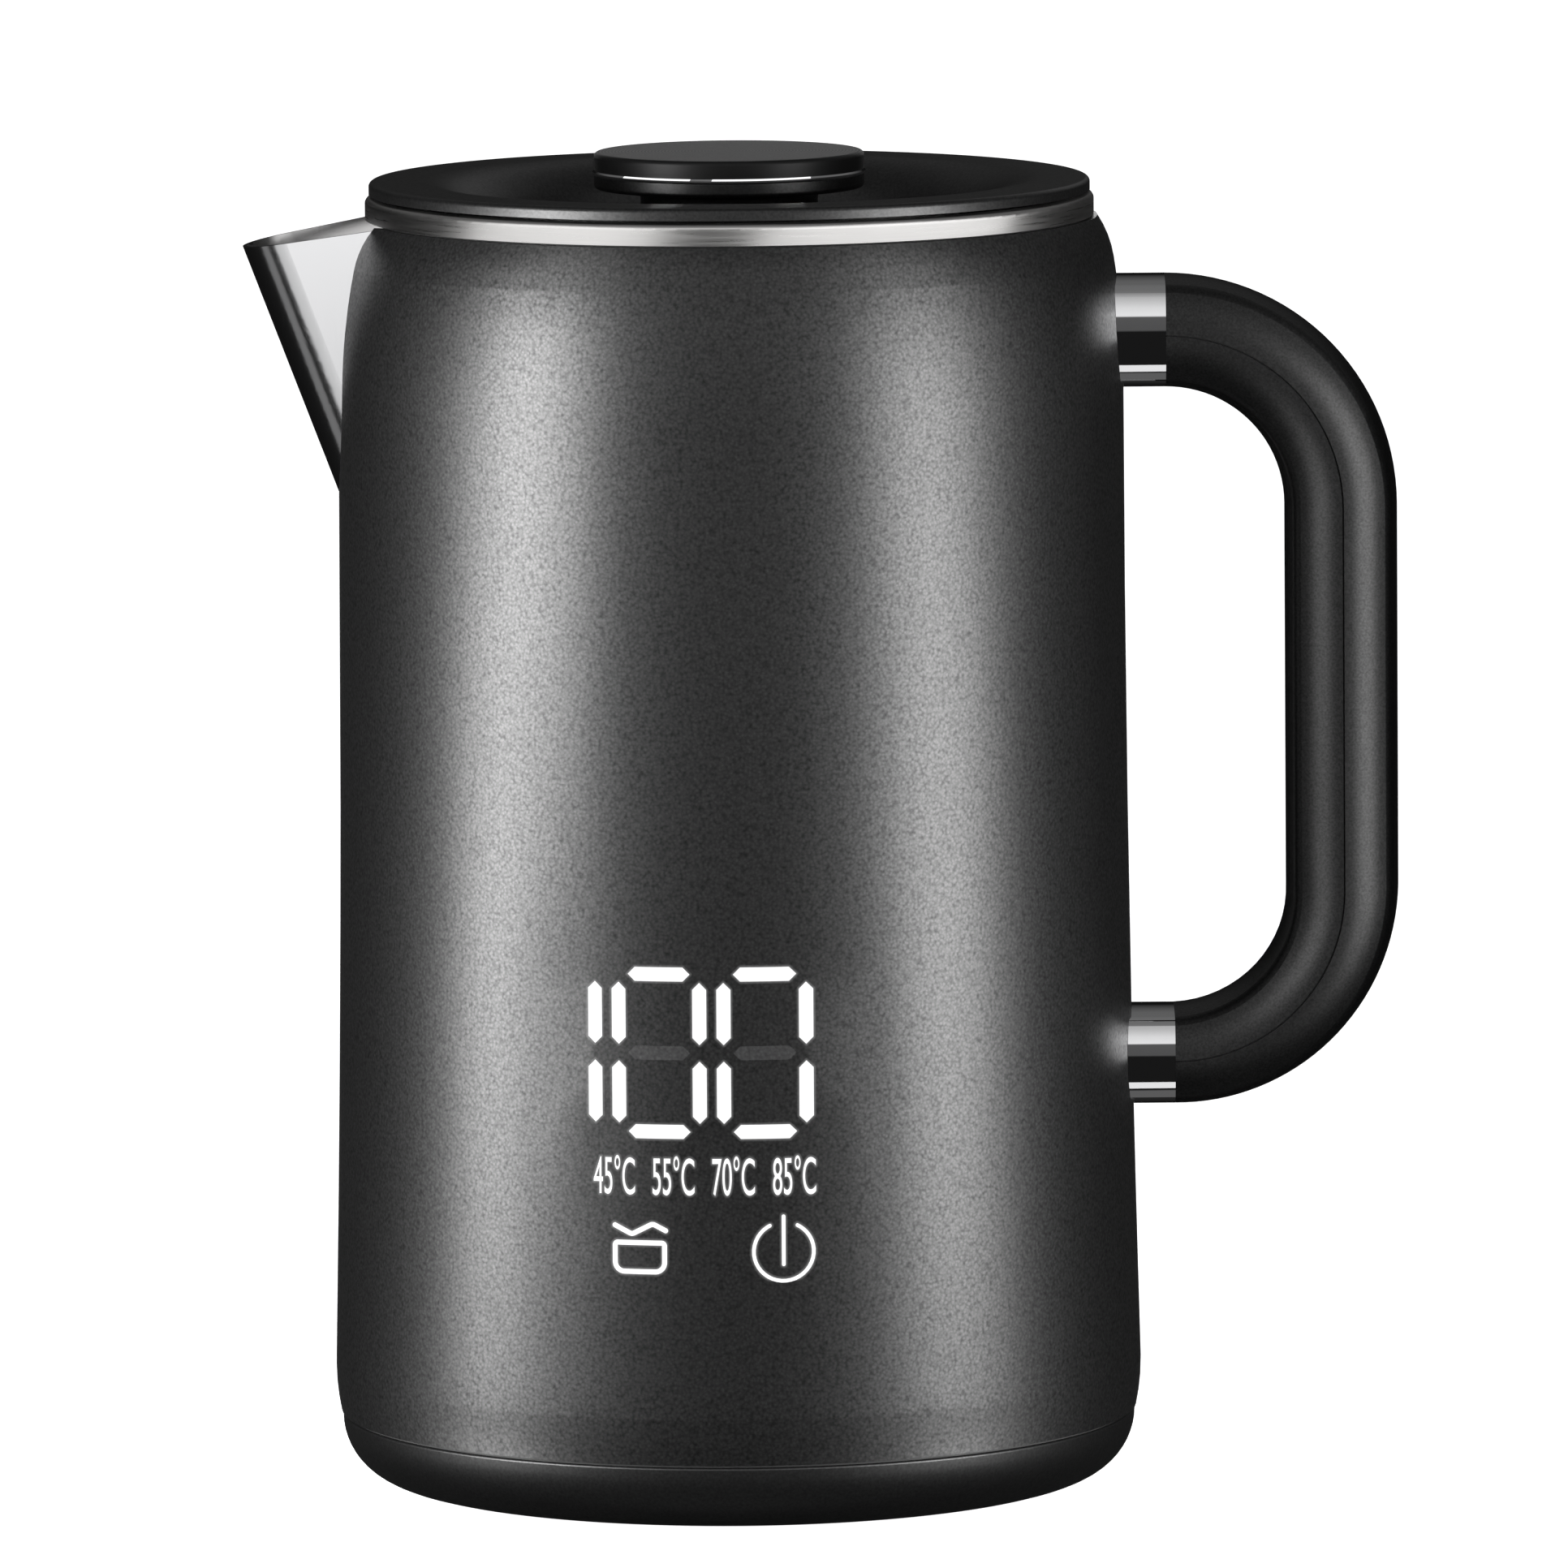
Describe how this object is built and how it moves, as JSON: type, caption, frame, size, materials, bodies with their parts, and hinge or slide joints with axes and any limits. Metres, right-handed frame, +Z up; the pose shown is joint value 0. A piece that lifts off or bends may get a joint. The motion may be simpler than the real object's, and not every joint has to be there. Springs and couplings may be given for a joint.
{
  "type": "electric kettle",
  "caption": "Double-wall electric kettle with a short steel pouring lip, a D-shaped handle on bright ferrules, a lift-off lid with a knob in a dish, and a lit display on its front",
  "frame": {"origin": "Where the body's axis meets the plane that the kettle stands on, which is also where the coupler's axis leaves the underside", "axes": "+Z up along the body, -X towards the spout, +X towards the handle, -Y towards the display side"},
  "size_m": [0.2083, 0.1464, 0.2412],
  "materials": {
    "shell_texture": "matte charcoal with a fine pebbled grain",
    "satin_black": "satin black moulding",
    "rim_steel": "drawn steel with streaks round the rim",
    "spout_steel": "polished sheet steel",
    "bright_chrome": "mirror chrome",
    "screw_steel": "plain zinc-plated steel",
    "heater_metal": "cast and drawn aluminium",
    "contact_brass": "bright brass",
    "silicone": "black silicone",
    "clear_silicone": "milky silicone",
    "coupler_black": "glass-filled black moulding",
    "board_green": "green laminate",
    "relay_blue": "blue moulded case",
    "light_white": "white diffusing moulding",
    "lamp_clear": "clear lamp body",
    "lit_window": "clear inlay, lit white",
    "dark_window": "clear inlay, unlit"
  },
  "bodies": {
    "kettle": {"inner_pot": "rim_steel", "spout": "spout_steel", "rim_gasket": "silicone", "base_cup": "satin_black", "base_gasket": "silicone", "base_screws": "screw_steel", "pot_bracket": "screw_steel", "heater_plate": "heater_metal", "heater_element": "heater_metal", "element_terminals": "screw_steel", "dry_boil_cutouts": "heater_metal", "temperature_probe": "rim_steel", "probe_gasket": "clear_silicone", "probe_nut": "contact_brass", "coupler_body": "coupler_black", "earth_pin": "contact_brass", "line_ring": "contact_brass", "neutral_ring": "contact_brass", "coupler_screws": "screw_steel", "control_board": "board_green", "power_relay": "relay_blue", "board_screws": "screw_steel", "outer_shell": "shell_texture", "digit_windows": "lit_window", "dark_digit_windows": "dark_window", "display_board": "board_green", "display_leds": "lamp_clear", "touch_pads": "contact_brass", "light_box": "light_white", "handle_outer_half": "satin_black", "handle_inner_half": "satin_black", "upper_ferrule": "bright_chrome", "lower_ferrule": "bright_chrome", "upper_anchor": "coupler_black", "lower_anchor": "coupler_black", "handle_screws": "screw_steel", "backing_plates": "screw_steel"},
    "lid": {"lid_cover": "satin_black", "lid_skirt": "satin_black", "lid_liner": "rim_steel", "lid_seal": "clear_silicone", "lid_screws": "screw_steel", "knob_base": "satin_black", "knob_ring": "bright_chrome", "knob_cap": "satin_black", "knob_screw": "screw_steel"}
  },
  "joints": [
    {"name": "lid_lift", "type": "slide", "parent": "kettle", "child": "lid", "axis": [0, 0, 1], "range_m": [0, 0.12]}
  ]
}
